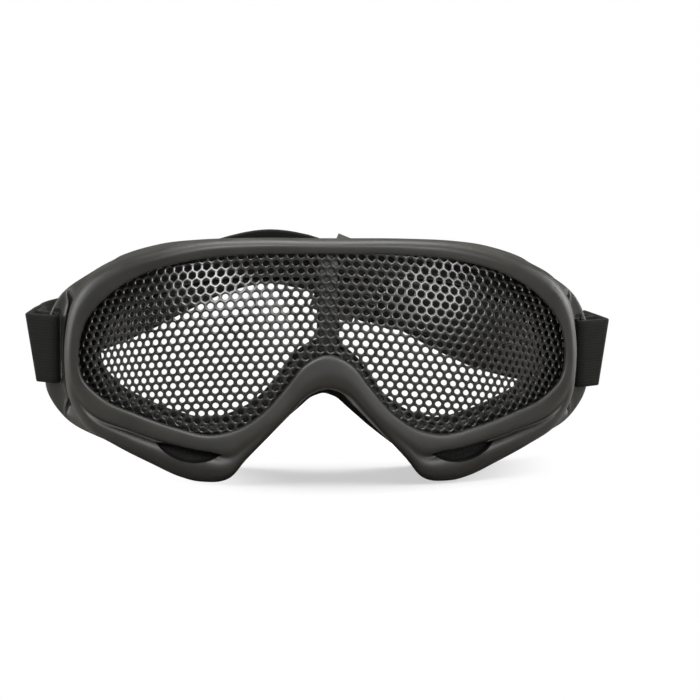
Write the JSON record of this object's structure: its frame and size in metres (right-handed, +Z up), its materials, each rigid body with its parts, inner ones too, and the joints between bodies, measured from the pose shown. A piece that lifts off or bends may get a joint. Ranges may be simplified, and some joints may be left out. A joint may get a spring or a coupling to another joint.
{
  "type": "mesh safety goggles",
  "caption": "Wrap-around goggles: soft moulded frame, domed punched-steel mesh lens, foam face pad, foam-backed cheek vents and an elastic head strap with slider.",
  "frame": {"origin": "on the table under the object, halfway between the front of the frame and the back of the slider, on the mirror plane of the frame", "axes": "+Z up; the lens looks along -Y; +X to the right as seen from the front"},
  "size_m": [0.1805, 0.1264, 0.0716],
  "materials": {
    "soft_frame": "satin",
    "mesh": "semi-gloss",
    "foam": "matt open-cell foam",
    "webbing": "woven",
    "slider_plastic": "satin",
    "thread": "twisted thread"
  },
  "bodies": {
    "goggles": {"frame": "soft_frame", "mesh_lens": "mesh", "face_pad": "foam", "vent_foam_left": "foam", "vent_foam_right": "foam", "strap_loop_left": "webbing", "strap_loop_right": "webbing", "ear_stitches": "thread"},
    "head_strap": {"strap": "webbing", "strap_return": "webbing"},
    "adjuster": {"slider": "slider_plastic", "strap_end": "webbing", "end_stitches": "thread"}
  },
  "joints": [
    {"name": "strap_swing", "type": "hinge", "parent": "goggles", "child": "head_strap", "pos_m": [0, -0.0032, 0.0345], "axis": [1, 0, 0], "range_deg": [-30, 30]},
    {"name": "slider_slide", "type": "slide", "parent": "head_strap", "child": "adjuster", "axis": [0.9242, -0.1026, -0.3678], "range_m": [-0.005, 0.005]}
  ]
}
